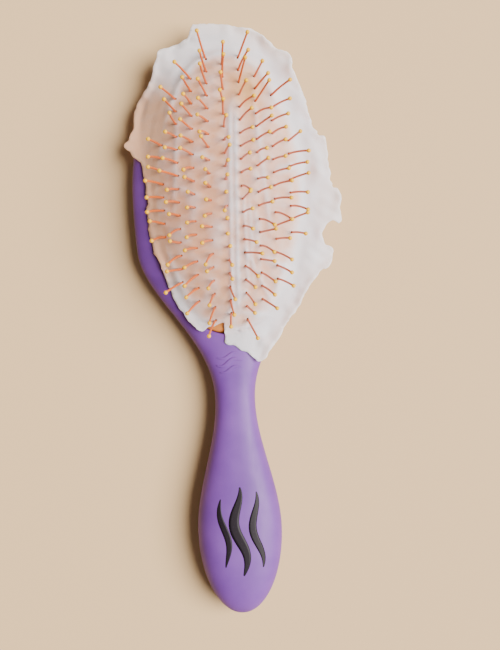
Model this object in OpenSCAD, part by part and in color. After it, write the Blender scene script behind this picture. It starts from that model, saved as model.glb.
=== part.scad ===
// Paddle brush: a two-shell handle and head, a domed rubber cushion held by a
// frame, splayed bristles with ball tips, and a thin sheet laid over the bristles.
// Millimetres. It lies on its back: +Z is the bristle side, +Y points to the top
// of the head, and the origin is at the head's centre on its flat back.

/* [Body outline] */
// Width of the handle at its widest
handle_w = 34; // [26:0.5:42]
// From the handle's end to its widest place
handle_bulge = 34; // [26:1:44]
// From the handle's widest place to the narrowest place of the neck
handle_taper = 52; // [40:1:70]
// Width of the neck at its narrowest
neck_w = 16.2; // [13:0.2:22]
// From the neck's narrowest place to the cushion's lower end
neck_gap = 27; // [22:1:36]
// How far below the head's centre the head reaches its full width
shoulder = 23; // [14:1:30]
// Width of the rim beside the cushion
rim_w = 7; // [5.8:0.2:9]
// Width of the rim at the top of the head
rim_end = 6.2; // [5.4:0.2:9]

/* [Body thickness] */
// Height of the joint between the shells above the flat back
part_z = 8; // [7:0.5:10]
// Depth of the back shell below the joint at the head, before its flat is cut
head_back = 8.7; // [7.6:0.1:12]
// Height of the front shell above the joint at the head
head_front = 7; // [6:0.5:9]
// Depth of the back shell at the neck
neck_back = 5.6; // [4.5:0.1:8]
// Height of the front shell at the neck
neck_front = 6.6; // [5:0.1:9]
// Depth of the back shell at the handle
handle_back = 8.3; // [6:0.1:12]
// Height of the front shell at the handle
handle_front = 10.4; // [7:0.1:13]
// Wall of the hollow handle
wall = 2.4; // [1.6:0.1:3]

/* [Cushion] */
// Length of the cushion's opening
cushion_len = 115.5; // [90:0.5:140]
// Width of the cushion's opening
cushion_w = 63; // [50:0.5:78]
// End radius of the cushion's oval as a share of its half width
end_roundness = 0.7; // [0.6:0.05:0.8]
// Height of the dome's edge above the joint between the shells
dome_edge = 4.6; // [4:0.1:6]
// Rise of the dome from its edge to its top
dome_rise = 10; // [7:0.5:13]
// Thickness of the rubber
cushion_t = 1.9; // [1.2:0.1:2.4]
// Width of the flange that is clamped under the rim
flange_w = 2.4; // [1.6:0.1:3]
// Thickness of the clamped flange
flange_t = 1.6; // [1.2:0.1:2]
// Height of the frame that clamps the flange
frame_t = 3; // [2.4:0.1:4]
// Width of the ledge that the frame stands on
ledge_w = 2; // [1.4:0.1:2.6]
// Width of the frame's upstand inside the cushion
upstand_w = 1; // [0.8:0.1:1.4]
// Diameter of the air hole in the cushion
vent_d = 2.4; // [1.5:0.1:3]

/* [Bristles] */
// Columns of bristles across the head
columns = 9; // [7:2:11]
// Distance between bristles in a column
row_pitch = 5.2; // [4.6:0.1:7]
// Least distance from a bristle's foot to the cushion's edge
bristle_margin = 4.4; // [4.2:0.1:7]
// Extra distance from the cushion's sides to the outermost columns
column_inset = 1.9; // [0.5:0.1:5]
// Diameter of a stem
stem_d = 0.8; // [0.6:0.05:1]
// Length of a stem from the cushion to the middle of its tip
stem_len = 17.5; // [12:0.5:22]
// Diameter of a ball tip
tip_d = 1.8; // [1.4:0.1:2.4]
// Diameter of the flat head that holds a stem under the cushion
foot_d = 2.2; // [1.8:0.1:2.4]
// Thickness of that head
foot_t = 0.6; // [0.4:0.1:0.8]
// Sideways lean of a stem at the cushion's sides, in degrees
spread = 17; // [0:1:30]
// Lengthways lean of a stem at the cushion's ends, in degrees
end_spread = 21; // [0:1:30]

/* [Sheet] */
// Thickness of the sheet
sheet_t = 0.6; // [0.4:0.1:1]
// Fall of the sheet from the dome's top to above the cushion's edge
sheet_drop = 5.5; // [3:0.5:6]
// Diameter of the holes that the bristles have made
pierce_d = 2; // [1.8:0.1:2.6]

/* [Hidden] */
// Clearances: running gap of parts that fit, gap under the sheet, gap round a stem,
// and gap between the rubber and a stem's head
fit = 0.2;
sheet_gap = 0.35;
stem_gap = 0.05;
foot_gap = 0.5;
// Locating pins: radius on the handle's axis and in the rim, and their clearance
pin_r = 1.6;
rim_pin_r = 1;
pin_gap = 0.05;
pin_len = 4;
rim_pin_len = 2;
boss_r = 3.2;
// Distances of the pins from the handle's widest place, either way, and from the head
pin_below = 8;
pin_above = 28;
neck_pin_gap = 11;
// The rib in the hollow handle: its thickness and its distance from the widest place
rib_t = 2;
rib_at = 10;
// Solid stretch between the hollow and the neck's narrowest place
neck_solid = 8;
// Roundness of the sections and of the side view's ends
section_n = 2.5;
side_n = 2.5;
eps = 0.1;
$fn = 48;

// Places along Y
bottom_y = -cushion_len / 2;
top_y = cushion_len / 2 + rim_end;
neck_y = bottom_y - neck_gap;
bulge_y = neck_y - handle_taper;
end_y = bulge_y - handle_bulge;
head_w = cushion_w + 2 * rim_w;
// The head's full width fades this slowly towards the neck
head_fade = 100;

// The cushion's oval: end arcs of radius end_r joined by side arcs of radius side_r
half_len = cushion_len / 2;
half_w = cushion_w / 2;
end_r = half_w * end_roundness;
end_at = half_len - end_r;
side_r = (pow(half_w, 2) + pow(end_at, 2) - pow(end_r, 2)) / (2 * (half_w - end_r));
side_at = side_r - half_w;
tangent_y = side_r * end_at / (side_r - end_r);

// The dome: a piece of a ring of radius long_r, bent across to radius cross_r.
// The sheet is a flatter dome over it.
function arc_r(half, rise) = (pow(half, 2) + pow(rise, 2)) / (2 * rise);
cross_r = arc_r(half_w, dome_rise);
long_r = arc_r(half_len, dome_rise);
sheet_cross_r = arc_r(half_w, sheet_drop);
sheet_long_r = arc_r(half_len, sheet_drop);
dome_top = part_z + dome_edge + dome_rise;

// Heights of what clamps the cushion
flange_z = part_z + 1;
lip_z = flange_z + flange_t;
ledge_z = flange_z - frame_t;
recess = flange_w + fit + 0.1;
chamber_z = 3.4;
// The air hole is just outside the bristles
vent_y = -half_len + bristle_margin - 1;

// Locating pins on the axis: two in the hollow handle, one in the solid neck
handle_pins = [bulge_y - pin_below, bulge_y + pin_above];
neck_pin = bottom_y - recess - neck_pin_gap;
rim_pin_x = half_w + (recess + rim_w) / 2;
// The handle is hollow from its end to here, with a rib in the middle
hollow_to = neck_y - neck_solid;
rib_y = bulge_y + rib_at;

// The sheet's torn edge, clockwise from the top, as torn by hand
SHEET_EDGE = [
    [-11, 67], [2, 66.5], [13, 63], [20, 57], [27, 52], [31, 40], [34, 29], [37, 21],
    [41, 14], [41, 6], [42, -2], [45.5, -14], [40, -15.5], [36, -20], [40, -25],
    [40.5, -30], [36, -35], [30, -42], [25, -51], [17, -62], [11, -69], [3, -64],
    [-2, -61.5], [-3, -54], [-12, -56], [-19, -50], [-25, -38], [-30, -24], [-32, -8],
    [-33, 6], [-39, 17], [-38.5, 25], [-35, 37], [-29, 46], [-25, 56], [-20, 60]
];

// ---- Curves ----
function ease(t) = let (u = min(1, max(0, t))) u * u * (3 - 2 * u);
function mix(a, b, t) = a + (b - a) * t;
function sgn_pow(v, p) = sign(v) * pow(abs(v), p);
function round_off(u, n) = pow(max(0, 1 - pow(max(0, u), n)), 1 / n);

// A size along the body that runs from the handle's value through the neck's to the head's
function along(y, handle, neck, head) =
    mix(
        mix(handle, neck, ease((y - bulge_y) / (neck_y - bulge_y))),
        head,
        ease((y - neck_y) / (-shoulder - neck_y))
    );

// How far the body's two round ends have closed at y
function ends(y, n, inset) =
    round_off((bulge_y - y) / (bulge_y - end_y - inset), n) * round_off(y / (top_y - inset), n);

function body_half_w(y, inset = 0) =
    let (head = head_w / 2 * round_off(-y / head_fade, 2))
        (along(y, handle_w / 2, neck_w / 2, head) - inset) * ends(y, 2, inset);
function back_depth(y, inset = 0) =
    (along(y, handle_back, neck_back, head_back) - inset) * ends(y, side_n, inset);
function front_height(y, inset = 0) =
    (along(y, handle_front, neck_front, head_front) - inset) * ends(y, side_n, inset);

// Places between y0 and y1 that crowd together at both ends, where the body rounds off
function places(y0, y1, n) = [for (i = [1:n - 1]) mix(y0, y1, (1 - cos(180 * i / n)) / 2)];

// Half a section from +X over the top to -X, no higher than limit, with its feet at -over
SECTION_STEPS = 18;
function half_section(y, w, d, limit, over) = [
    for (i = [0:SECTION_STEPS])
        let (
            a = 180 * i / SECTION_STEPS,
            z = i == 0 || i == SECTION_STEPS ? -over : min(limit, d * sgn_pow(sin(a), 2 / section_n))
        )
            [w * sgn_pow(cos(a), 2 / section_n), y, z]
];

// A closed half body through the sections at ys, flat underneath
module half_loft(ys, ws, ds, limit = 100, over = 0) {
    per = SECTION_STEPS + 1;
    last = len(ys) - 1;
    points = [for (j = [0:last]) each half_section(ys[j], ws[j], ds[j], limit, over)];
    sides = [
        for (j = [0:last - 1])
            for (i = [0:SECTION_STEPS])
                let (a = j * per + i, b = j * per + (i + 1) % per)
                    each [[a, b, b + per], [a, b + per, a + per]]
    ];
    low_end = [[for (i = [SECTION_STEPS:-1:0]) i]];
    high_end = [[for (i = [0:SECTION_STEPS]) last * per + i]];
    polyhedron(points = points, faces = concat(sides, low_end, high_end));
}

BODY_STEPS = 56;
module back_half() {
    ys = places(end_y, top_y, BODY_STEPS);
    translate([0, 0, part_z])
        mirror([0, 0, 1])
            half_loft(ys, [for (y = ys) body_half_w(y)], [for (y = ys) back_depth(y)], limit = part_z);
}

module front_half() {
    ys = places(end_y, top_y, BODY_STEPS);
    translate([0, 0, part_z])
        half_loft(ys, [for (y = ys) body_half_w(y)], [for (y = ys) front_height(y)]);
}

// The handle's two hollows in one shell, each side of the rib
HOLLOW_STEPS = 14;
module hollow(front, y0, y1) {
    ys = places(y0, y1, HOLLOW_STEPS);
    half_loft(
        ys,
        [for (y = ys) body_half_w(y, wall)],
        [for (y = ys) (front ? front_height(y, wall) : back_depth(y, wall))],
        limit = front ? 100 : part_z - wall,
        over = eps
    );
}

module hollows(front) {
    translate([0, 0, part_z])
        mirror([0, 0, front ? 0 : 1]) {
            hollow(front, end_y + wall, rib_y - rib_t / 2);
            hollow(front, rib_y + rib_t / 2, hollow_to);
        }
}

// ---- The cushion's oval ----
module oval(grow = 0) {
    r = end_r + grow;
    for (side = [-1, 1])
        translate([0, side * end_at])
            circle(r = r, $fn = 96);
    intersection() {
        translate([side_at, 0])
            circle(r = side_r + grow, $fn = 360);
        translate([-side_at, 0])
            circle(r = side_r + grow, $fn = 360);
        square([2 * (half_w + grow) + 2, 2 * tangent_y * (side_r + grow) / side_r], center = true);
    }
}

module oval_block(grow, z0, z1) {
    translate([0, 0, z0])
        linear_extrude(z1 - z0)
            oval(grow);
}

function in_oval(x, y, grow) =
    abs(y) <= tangent_y * (side_r + grow) / side_r
    ? abs(x) <= sqrt(pow(side_r + grow, 2) - pow(y, 2)) - side_at
    : norm([x, abs(y) - end_at]) <= end_r + grow;

// A ring-shaped solid whose outer surface is a dome with its top at top_z
module dome_block(top_z, along_r, across_r) {
    translate([0, 0, top_z - along_r])
        rotate([0, 90, 0])
            rotate_extrude($fn = 240)
                translate([along_r - across_r, 0])
                    circle(r = across_r, $fn = 144);
}

function dome_z(x, y) =
    dome_top - long_r + sqrt(pow(long_r - cross_r + sqrt(pow(cross_r, 2) - pow(x, 2)), 2) - pow(y, 2));

// ---- Where the bristles stand ----
half_columns = (columns - 1) / 2;
column_pitch = (half_w - bristle_margin - column_inset) / half_columns;
most_rows = ceil(half_len / row_pitch);
function column_x(k) = (k - 1 - half_columns) * column_pitch;
// Every second column is half a pitch further on, so the bristles are staggered
function feet(k) = [
    for (j = [-most_rows:most_rows])
        let (x = column_x(k), y = (j + 0.5 * (k % 2)) * row_pitch)
            if (in_oval(x, y, -bristle_margin)) [x, y, dome_z(x, y)]
];
// Moulded bristles never stand quite even, so each leans up to stray degrees its own way.
// Sideways they splay soon after the middle, and more so towards the head's ends.
// Lengthways they stay nearly upright until they come close to the ends.
stray = 3;
splay_n = 0.45;
end_splay = 0.7;
end_n = 2;
function splay(p) = sgn_pow(p[0] / half_w, splay_n) * (1 + end_splay * pow(p[1] / half_len, 2));
function lean_x(p) = spread * splay(p) + stray * sin(97 * p[0] + 61 * p[1]);
function lean_y(p) = end_spread * sgn_pow(p[1] / half_len, end_n) + stray * sin(43 * p[0] - 89 * p[1]);

// Places children along the bristle at p: z = 0 is on the dome, +Z runs to the tip
module on_bristle(p) {
    dx = tan(lean_x(p));
    dy = tan(lean_y(p));
    translate(p)
        rotate([0, atan(norm([dx, dy])), atan2(dy, dx)])
            children();
}

module bristle_holes(r, above) {
    below = 2 * cushion_t;
    for (k = [1:columns])
        for (p = feet(k))
            on_bristle(p)
                translate([0, 0, -below])
                    cylinder(r = r, h = below + above, $fn = 16);
}

// ---- Shells ----
module pins(r, rim_r, z0, handle_h, rim_h) {
    for (y = concat(handle_pins, neck_pin))
        translate([0, y, z0])
            cylinder(r = r, h = handle_h, $fn = 32);
    for (side = [-1, 1])
        translate([side * rim_pin_x, 0, z0])
            cylinder(r = rim_r, h = rim_h, $fn = 32);
}

module back_shell() {
    color("#8B6FB0") {
        difference() {
            back_half();
            oval_block(recess, ledge_z, part_z + eps);
            oval_block(-ledge_w, chamber_z, part_z);
            difference() {
                hollows(false);
                for (y = handle_pins)
                    translate([0, y, 0])
                        cylinder(r = boss_r, h = part_z);
            }
        }
        pins(pin_r, rim_pin_r, part_z - 1, 1 + pin_len, 1 + rim_pin_len);
    }
}

module front_shell() {
    color("#9C80BA")
        difference() {
            front_half();
            oval_block(0, part_z - eps, part_z + front_height(bottom_y) + 2);
            oval_block(recess, part_z - eps, lip_z);
            difference() {
                hollows(true);
                for (y = handle_pins)
                    translate([0, y, part_z - eps])
                        cylinder(r = boss_r, h = handle_front);
            }
            pins(
                pin_r + pin_gap,
                rim_pin_r + pin_gap,
                part_z - eps,
                pin_len + 2 * eps,
                rim_pin_len + 2 * eps
            );
        }
}

// ---- Cushion and its frame ----
module cushion_frame() {
    color("#6B4A8C")
        difference() {
            union() {
                oval_block(recess - fit, ledge_z, flange_z);
                oval_block(-cushion_t - 2 * fit, flange_z - 1, lip_z);
            }
            oval_block(-cushion_t - 2 * fit - upstand_w, ledge_z - eps, lip_z + eps);
        }
}

module cushion() {
    color("#D98A3A")
        difference() {
            union() {
                oval_block(flange_w, flange_z, lip_z);
                intersection() {
                    dome_block(dome_top, long_r, cross_r);
                    oval_block(-fit, flange_z, dome_top + 1);
                }
            }
            intersection() {
                dome_block(dome_top - cushion_t, long_r - cushion_t, cross_r - cushion_t);
                oval_block(-fit - cushion_t, flange_z - eps, dome_top + 1);
            }
            bristle_holes(stem_d / 2 + stem_gap, cushion_t);
            translate([0, vent_y, flange_z])
                cylinder(d = vent_d, h = dome_rise);
        }
}

// ---- Bristles ----
module stem() {
    foot_z = -cushion_t - foot_gap;
    translate([0, 0, foot_z])
        cylinder(d = stem_d, h = stem_len - foot_z, $fn = 16);
    translate([0, 0, foot_z - foot_t])
        cylinder(d = foot_d, h = foot_t, $fn = 16);
}

module tip() {
    translate([0, 0, stem_len])
        difference() {
            sphere(d = tip_d, $fn = 20);
            translate([0, 0, -tip_d])
                cylinder(r = stem_d / 2 + 0.01, h = tip_d, $fn = 16);
        }
}

module stems(k) {
    color("#C87050")
        for (p = feet(k))
            on_bristle(p)
                stem();
}

module tips(k) {
    color("#EBBE46")
        for (p = feet(k))
            on_bristle(p)
                tip();
}

// ---- Sheet ----
// A smooth closed curve through the points
EDGE_STEPS = 3;
function smooth_loop(ps) = [
    for (i = [0:len(ps) - 1])
        let (
            n = len(ps),
            a = ps[(i + n - 1) % n],
            b = ps[i],
            c = ps[(i + 1) % n],
            d = ps[(i + 2) % n]
        )
            for (s = [0:EDGE_STEPS - 1])
                let (t = s / EDGE_STEPS)
                    (2 * b + t * (c - a) + t * t * (2 * a - 5 * b + 4 * c - d)
                    + t * t * t * (3 * b - a - 3 * c + d)) / 2
];

module sheet() {
    low = dome_top + sheet_gap;
    high = low + sheet_t;
    color("#EDE6EE")
        difference() {
            intersection() {
                dome_block(high, sheet_long_r + sheet_t, sheet_cross_r + sheet_t);
                linear_extrude(high + 1)
                    polygon(smooth_loop(SHEET_EDGE));
            }
            dome_block(low, sheet_long_r, sheet_cross_r);
            bristle_holes(pierce_d / 2, 12);
        }
}

back_shell();
front_shell();
cushion_frame();
cushion();
sheet();
for (k = [1:columns])
    stems(k);
for (k = [1:columns])
    tips(k);
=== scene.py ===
"""Paddle brush, laid on its back: satin two-shell body, rubber cushion, nylon bristles with
ball tips, and a thin non-woven sheet pushed down over them. Sizes below are in millimetres
in the CAD frame (+Z bristle side, +Y top of the head) and become metres where a mesh is made."""
import math

import bmesh
import bpy
import numpy as np
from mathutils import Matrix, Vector, geometry


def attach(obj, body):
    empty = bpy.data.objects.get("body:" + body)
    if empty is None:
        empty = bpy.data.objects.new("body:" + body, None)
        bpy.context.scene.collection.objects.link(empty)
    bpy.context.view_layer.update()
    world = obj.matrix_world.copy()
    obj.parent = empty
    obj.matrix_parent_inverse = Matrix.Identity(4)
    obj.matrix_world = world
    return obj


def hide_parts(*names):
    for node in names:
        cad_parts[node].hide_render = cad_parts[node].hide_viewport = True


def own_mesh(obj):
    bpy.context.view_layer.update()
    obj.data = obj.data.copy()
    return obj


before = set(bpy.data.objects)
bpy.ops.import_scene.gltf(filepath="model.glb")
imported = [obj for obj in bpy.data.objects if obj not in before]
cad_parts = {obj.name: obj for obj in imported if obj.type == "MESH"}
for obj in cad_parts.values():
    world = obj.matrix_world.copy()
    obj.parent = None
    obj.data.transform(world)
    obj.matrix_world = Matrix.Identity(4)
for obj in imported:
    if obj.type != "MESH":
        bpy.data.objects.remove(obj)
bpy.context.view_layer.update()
MM = 0.001

# ---- Sizes that the pieces share with the CAD model ----
HANDLE_W, NECK_W = 34.0, 16.2
# Along the brush: from the butt to the widest handle, on to the neck, and on to the cushion's lower
# end; then how far under the cushion's middle the shoulders end
HANDLE_BULGE, HANDLE_TAPER, NECK_GAP, SHOULDER = 34.0, 52.0, 27.0, 23.0
RIM_W, RIM_END = 7.0, 6.2
PART_Z = 8.0  # the joint between the two shells
BACK_DEPTHS = (8.3, 5.6, 8.7)  # at the handle, the neck and the head
FRONT_HEIGHTS = (10.4, 6.6, 7.0)
CUSHION_LEN, CUSHION_W, END_ROUNDNESS = 115.5, 63.0, 0.7
DOME_EDGE, DOME_RISE, CUSHION_T = 4.6, 10.0, 1.9
FLANGE_W, FLANGE_T, FRAME_T, LEDGE_W = 2.4, 1.6, 3.0, 2.0
FIT = 0.2
COLUMNS, COLUMN_PITCH, ROW_PITCH, BRISTLE_MARGIN = 9, 6.3, 5.2, 4.4
STEM_D, STEM_LEN = 0.8, 17.5
SPREAD, END_SPREAD, STRAY = 17.0, 21.0, 3.0  # lean at the sides and the ends, and at random, in degrees
SPLAY_N, END_SPLAY, END_N = 0.45, 0.7, 2

HALF_LEN, HALF_W = CUSHION_LEN / 2, CUSHION_W / 2
BOTTOM_Y, TOP_Y = -HALF_LEN, HALF_LEN + RIM_END
NECK_Y = BOTTOM_Y - NECK_GAP
BULGE_Y = NECK_Y - HANDLE_TAPER
END_Y = BULGE_Y - HANDLE_BULGE
HEAD_W = CUSHION_W + 2 * RIM_W
HEAD_FADE = 100.0  # the head alone would narrow to nothing this far under its middle
SECTION_N, SIDE_N = 2.5, 2.5  # how full a section and the two ends are; 2 is an ellipse
END_R = HALF_W * END_ROUNDNESS
END_AT = HALF_LEN - END_R
SIDE_R = (HALF_W**2 + END_AT**2 - END_R**2) / (2 * (HALF_W - END_R))
SIDE_AT = SIDE_R - HALF_W
TANGENT = math.atan2(END_AT, SIDE_AT)  # where an end arc meets a side arc, as a direction
CROSS_R = (HALF_W**2 + DOME_RISE**2) / (2 * DOME_RISE)
LONG_R = (HALF_LEN**2 + DOME_RISE**2) / (2 * DOME_RISE)
DOME_TOP = PART_Z + DOME_EDGE + DOME_RISE
FLANGE_Z = PART_Z + 1
LIP_Z = FLANGE_Z + FLANGE_T
LEDGE_Z = FLANGE_Z - FRAME_T
RECESS = FLANGE_W + FIT + 0.1
CHAMBER_Z = 3.4


# ---- Shapes: the same curves as the CAD model's, for numbers or arrays ----
def ease(t):
    """0 up to t = 0 and 1 from t = 1, with a soft curve between."""
    u = np.clip(t, 0, 1)
    return u * u * (3 - 2 * u)


def mix(a, b, t):
    return a + (b - a) * t


def sign_power(u, n):
    """The nth power of u's size, with u's sign."""
    return math.copysign(abs(u) ** n, u)


def round_off(u, n):
    """1 up to u = 0, then down to 0 at u = 1 as a rounded corner does."""
    return np.maximum(0, 1 - np.maximum(0, u) ** n) ** (1 / n)


def along(y, handle, neck, head):
    """A size at y that blends from its value at the handle to those at the neck and the head."""
    to_neck = ease((y - BULGE_Y) / (NECK_Y - BULGE_Y))
    to_head = ease((y - NECK_Y) / (-SHOULDER - NECK_Y))
    return mix(mix(handle, neck, to_neck), head, to_head)


def ends(y, n):
    """Share of a size that is left at y by the rounding of the body's two ends."""
    return round_off((BULGE_Y - y) / (BULGE_Y - END_Y), n) * round_off(y / TOP_Y, n)


def body_half_w(y):
    head = HEAD_W / 2 * round_off(-y / HEAD_FADE, 2)
    return along(y, HANDLE_W / 2, NECK_W / 2, head) * ends(y, 2)


def depth(y, values):
    return along(y, *values) * ends(y, SIDE_N)


def front_z(x, y):
    """Height of the front shell's outer surface."""
    share = np.minimum(1, np.abs(x) / np.maximum(body_half_w(y), 1e-6))
    return PART_Z + depth(y, FRONT_HEIGHTS) * (1 - share**SECTION_N) ** (1 / SECTION_N)


def dome_z(x, y):
    """Height of the cushion: its cross arc, swept along its long arc."""
    x, y = np.asarray(x, float), np.asarray(y, float)
    across = np.sqrt(np.maximum(0, CROSS_R**2 - x**2))
    swept = (LONG_R - CROSS_R + across) ** 2 - y**2
    return DOME_TOP - LONG_R + np.sqrt(np.maximum(0, swept))


def oval_point(a, grow):
    """Point on the cushion's oval, offset outwards by grow, whose outward normal points along a."""
    normal = np.stack([np.cos(a), np.sin(a)], -1)
    side = np.abs(a) <= TANGENT
    centre = np.where(side[..., None], [-SIDE_AT, 0.0], np.stack([0 * a, np.sign(a) * END_AT], -1))
    radius = np.where(side, SIDE_R, END_R) + grow
    return centre + normal * radius[..., None]


def oval_distance(x, y):
    """How far outside the cushion's oval a point is, negative inside."""
    x, y = np.abs(x), np.abs(y)
    by_side = np.arctan2(y, x + SIDE_AT) <= TANGENT
    to_side = np.hypot(x + SIDE_AT, y) - SIDE_R
    to_end = np.hypot(x, y - END_AT) - END_R
    return np.where(by_side, to_side, to_end)


# Directions round the right half of the oval, from its lower end to its upper end
END_ARC = np.linspace(-math.pi / 2, -TANGENT, 25)[:-1]
SIDE_ARC = np.linspace(-TANGENT, TANGENT, 61)
OVAL_DIRECTIONS = np.concatenate([END_ARC, SIDE_ARC, -END_ARC[::-1]])


def column_x(k):
    return (k - 1 - (COLUMNS - 1) / 2) * COLUMN_PITCH


def bristles(k):
    """Feet on the cushion and directions of the bristles in column k, as the CAD places them.
    The two sines with large factors only scatter the lean."""
    most = math.ceil(HALF_LEN / ROW_PITCH)
    found = []
    for j in range(-most, most + 1):
        x, y = column_x(k), (j + 0.5 * (k % 2)) * ROW_PITCH
        if oval_distance(x, y) > -BRISTLE_MARGIN:
            continue
        sway_x = STRAY * math.sin(math.radians(97 * x + 61 * y))
        sway_y = STRAY * math.sin(math.radians(43 * x - 89 * y))
        splay = sign_power(x / HALF_W, SPLAY_N) * (1 + END_SPLAY * (y / HALF_LEN) ** 2)
        lean_x = math.radians(SPREAD * splay + sway_x)
        lean_y = math.radians(END_SPREAD * sign_power(y / HALF_LEN, END_N) + sway_y)
        way = Vector((math.tan(lean_x), math.tan(lean_y), 1)).normalized()
        found.append((Vector((x, y, float(dome_z(x, y)))), way))
    return found


FEET = np.array([foot[:2] for k in range(1, COLUMNS + 1) for foot, way in bristles(k)])


# ---- Making meshes ----
MERGE, SLIVER = 0.004, 0.001  # points closer than this are one, and edges shorter than this go


def shade_smooth(piece):
    piece.data.polygons.foreach_set("use_smooth", [True] * len(piece.data.polygons))


def mesh_piece(name, points, faces, body, replaced=()):
    """A mesh object from points in millimetres, riding on a CAD body."""
    mesh = bpy.data.meshes.new(name)
    mesh.from_pydata([tuple(p) for p in np.asarray(points, float) * MM], [], [tuple(f) for f in faces])
    bm = bmesh.new()
    bm.from_mesh(mesh)
    bmesh.ops.remove_doubles(bm, verts=bm.verts, dist=MERGE * MM)
    bmesh.ops.dissolve_degenerate(bm, dist=SLIVER * MM, edges=bm.edges)
    bmesh.ops.recalc_face_normals(bm, faces=bm.faces)
    bm.to_mesh(mesh)
    bm.free()
    piece = bpy.data.objects.new(name, mesh)
    shade_smooth(piece)
    bpy.context.scene.collection.objects.link(piece)
    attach(piece, body)
    if replaced:
        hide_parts(*replaced)
    return piece


def thicken(piece, thickness, offset):
    """Gives a skin its thickness, inwards where offset is -1 and outwards where it is 1."""
    modifier = piece.modifiers.new("Thickness", "SOLIDIFY")
    modifier.thickness = thickness * MM
    modifier.offset = offset
    with bpy.context.temp_override(object=piece, active_object=piece, selected_objects=[piece]):
        bpy.ops.object.modifier_apply(modifier=modifier.name)


def smooth_by_angle(piece, degrees):
    """Keeps the shading crisp at edges that turn by more than this."""
    piece.data.set_sharp_from_angle(angle=math.radians(degrees))


class Skin:
    """Points and faces of one half of a mirrored piece (x >= 0), collected row by row."""

    def __init__(self):
        self.points, self.faces = [], []

    def grid(self, rows):
        """Adds rows of points, joined into quads; rows is an array of row, column, xyz."""
        rows = np.asarray(rows, float)
        start = len(self.points)
        high, wide = rows.shape[:2]
        self.points.extend(rows.reshape(-1, 3))
        for j in range(high - 1):
            for i in range(wide - 1):
                a = start + j * wide + i
                self.faces.append((a, a + 1, a + wide + 1, a + wide))

    def both_halves(self):
        """The points and faces of this half and of its mirror image."""
        points = np.array(self.points)
        mirrored = points * [-1, 1, 1]
        shift = len(points)
        faces = self.faces + [tuple(shift + i for i in reversed(f)) for f in self.faces]
        return np.concatenate([points, mirrored]), faces


def crowded(y0, y1, n):
    """n places from y0, itself left out, to y1, which crowd together at y0."""
    return y0 + (y1 - y0) * (1 - np.cos(np.linspace(0, math.pi / 2, n + 1)[1:]))


# ---- The body's two shells ----
JOINT_BEVEL = 0.3  # chamfer that makes the fine line between the shells
THIN_SHARE = 5  # near the ends, the chamfer is at most this part of the section
LIP_ROUND = 0.8  # rounding of the rim's inner edge
LIP_LAND = 0.6  # straight wall at the foot of that edge
BACK_FLAT_BLUR = 0.3  # softness where the back's curve meets the flat that it rests on
ACROSS, CROWDING = 26, 1.15  # quads from the outline to the middle, a little finer at the outline
JOINT_QUADS = 4  # quads across the flat face at the joint
HANDLE_END = crowded(END_Y, BULGE_Y, 26)
HANDLE_ROWS = np.concatenate([HANDLE_END, np.linspace(BULGE_Y, BOTTOM_Y - LIP_ROUND, 42)[1:-1]])
TOP_ROWS = crowded(TOP_Y, HALF_LEN + LIP_ROUND, 14)[::-1][1:]


def soft_min(a, b, blur):
    """The smaller of two values, rounded over where they cross."""
    return (a + b - np.sqrt((a - b) ** 2 + blur**2)) / 2


def section(y, values, x_inner, front):
    """Points of a half section at y from the outline to x_inner, over the front or the back."""
    w, d = float(body_half_w(y)), float(depth(y, values))
    bevel = min(JOINT_BEVEL, d / THIN_SHARE, w / THIN_SHARE)
    a0 = math.asin((bevel / d) ** (SECTION_N / 2))
    a1 = math.acos(min(1.0, (x_inner / w) ** (SECTION_N / 2)))
    a = mix(a0, a1, np.linspace(0, 1, ACROSS) ** CROWDING)
    x = w * np.cos(a) ** (2 / SECTION_N)
    z = d * np.sin(a) ** (2 / SECTION_N)
    x[-1] = x_inner
    if not front:
        z = -soft_min(z, PART_Z, BACK_FLAT_BLUR)
    rim = np.array([[w - bevel, y, PART_Z]])
    return np.concatenate([rim, np.stack([x, 0 * x + y, PART_Z + z], -1)])


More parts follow.
